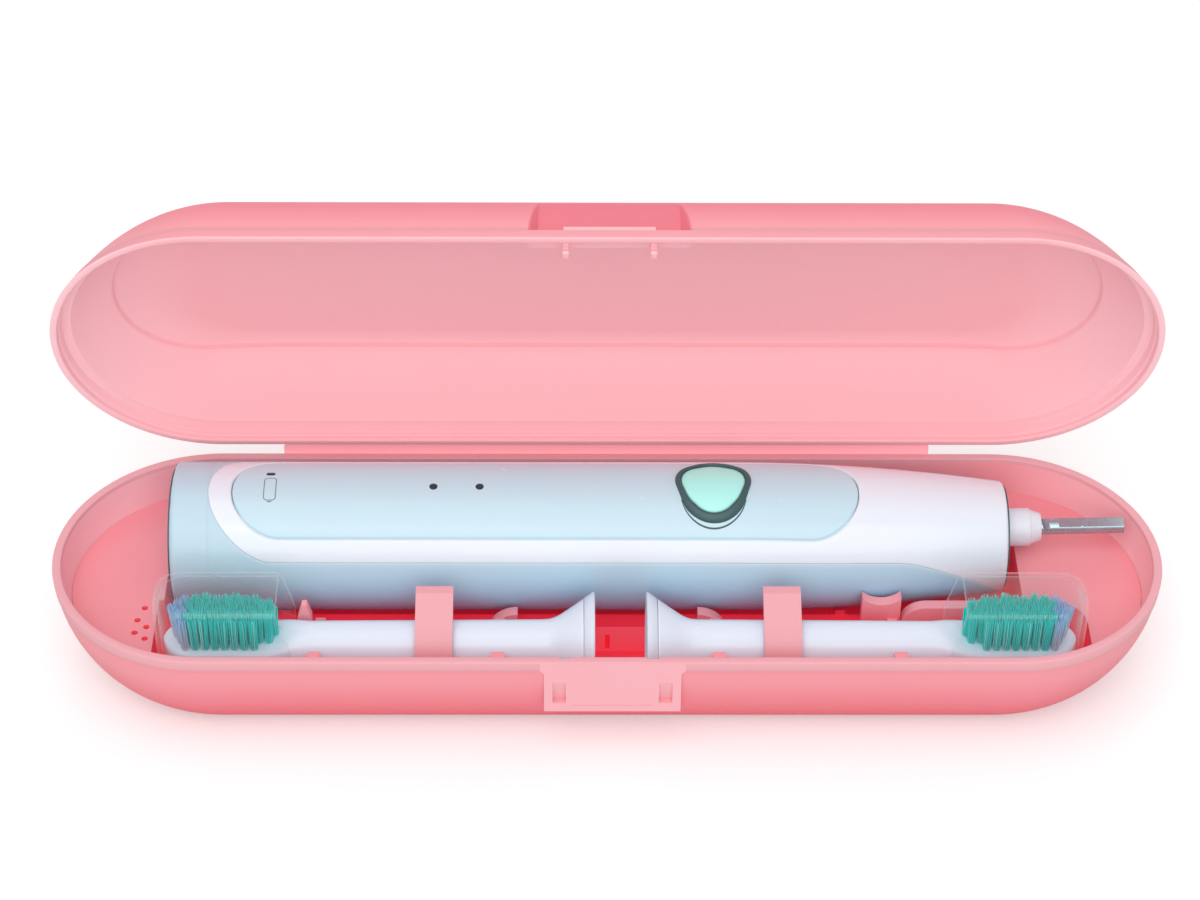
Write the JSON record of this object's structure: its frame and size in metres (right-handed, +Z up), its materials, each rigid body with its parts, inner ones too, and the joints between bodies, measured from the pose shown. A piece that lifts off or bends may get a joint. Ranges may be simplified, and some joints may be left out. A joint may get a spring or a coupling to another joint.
{
  "type": "toothbrush travel case",
  "caption": "Long round-ended travel case with a hinged lid, holding a powered toothbrush handle and spare brush heads under clear hoods.",
  "frame": {"origin": "middle of the flat face under the lower shell, on the surface the case stands on", "axes": "+X along the case, towards the drive shaft's tip; +Y towards the hinge; +Z up"},
  "size_m": [0.225, 0.0797, 0.09],
  "materials": {
    "case_plastic": "fine satin moulded plastic",
    "lid_plastic": "fine satin moulded plastic",
    "tray_plastic": "satin moulded plastic",
    "handle_blue": "satin, softly glossy",
    "handle_white": "glossy",
    "panel_film": "glossy film",
    "button_rubber": "soft satin rubber",
    "seal_rubber": "satin rubber",
    "seal_white": "satin rubber",
    "lens_plastic": "glossy, smoked",
    "coil_copper": "enamelled wire",
    "cell_can": "smooth can",
    "inner_plastic": "plain moulded plastic",
    "board_laminate": "laminate",
    "drive_steel": "plain steel",
    "shaft_steel": "turned and polished",
    "neck_plastic": "glossy",
    "bristle_teal": "rows of fine filaments",
    "bristle_blue": "rows of fine filaments",
    "clear_plastic": "clear, glossy"
  },
  "bodies": {
    "case": {"base_shell": "case_plastic", "hinge_film": "case_plastic", "left_deck": "tray_plastic", "right_deck": "tray_plastic", "bay_divider": "tray_plastic", "handle_rests": "tray_plastic", "neck_cradles": "tray_plastic", "neck_prop": "tray_plastic", "left_clip": "tray_plastic", "right_clip": "tray_plastic"},
    "lid": {"case_lid": "lid_plastic"},
    "handle": {"rear_shell": "handle_blue", "front_shell": "handle_white", "control_panel": "panel_film", "button_seal": "seal_rubber", "mode_lenses": "lens_plastic", "charge_lens": "lens_plastic", "end_cap": "handle_blue", "end_cap_seal": "seal_rubber", "charging_coil": "coil_copper", "battery_cell": "cell_can", "chassis": "inner_plastic", "circuit_board": "board_laminate", "push_switch": "inner_plastic", "drive_unit": "drive_steel", "shaft_seal": "seal_white"},
    "button": {"power_button": "button_rubber"},
    "shaft": {"drive_shaft": "shaft_steel"},
    "left_head": {"left_neck": "neck_plastic", "left_ring": "neck_plastic", "left_core": "shaft_steel", "left_bristles": "bristle_teal", "left_tip_bristles": "bristle_blue"},
    "left_cover": {"left_hood": "clear_plastic"},
    "right_head": {"right_neck": "neck_plastic", "right_ring": "neck_plastic", "right_core": "shaft_steel", "right_bristles": "bristle_teal", "right_tip_bristles": "bristle_blue"},
    "right_cover": {"right_hood": "clear_plastic"}
  },
  "joints": [
    {"name": "lid_hinge", "type": "hinge", "parent": "case", "child": "lid", "pos_m": [0, 0.03325, 0.0266], "axis": [-1, 0, 0], "range_deg": [-78.4, 101.6], "deforming": ["hinge_film"]},
    {"name": "handle_lift", "type": "slide", "parent": "case", "child": "handle", "axis": [0, 0, 1], "range_m": [0, 0.03]},
    {"name": "button_press", "type": "slide", "parent": "handle", "child": "button", "axis": [0, 0.1736, -0.9848], "range_m": [0, 0.0006], "stiffness_N_per_m": 1500},
    {"name": "shaft_spin", "type": "hinge", "parent": "handle", "child": "shaft", "pos_m": [0.0818, 0.01138, 0.0213], "axis": [0.9994, -0.0061, 0.0344], "range_deg": [-6, 6], "stiffness_Nm_per_rad": 0.05},
    {"name": "left_head_lift", "type": "slide", "parent": "case", "child": "left_head", "axis": [0, 0, 1], "range_m": [0, 0.03], "deforming": ["left_clip"]},
    {"name": "right_head_lift", "type": "slide", "parent": "case", "child": "right_head", "axis": [0, 0, 1], "range_m": [0, 0.03], "deforming": ["right_clip"]},
    {"name": "left_hood_lift", "type": "slide", "parent": "left_head", "child": "left_cover", "axis": [0, 0, 1], "range_m": [0, 0.025]},
    {"name": "right_hood_lift", "type": "slide", "parent": "right_head", "child": "right_cover", "axis": [0, 0, 1], "range_m": [0, 0.025]}
  ]
}
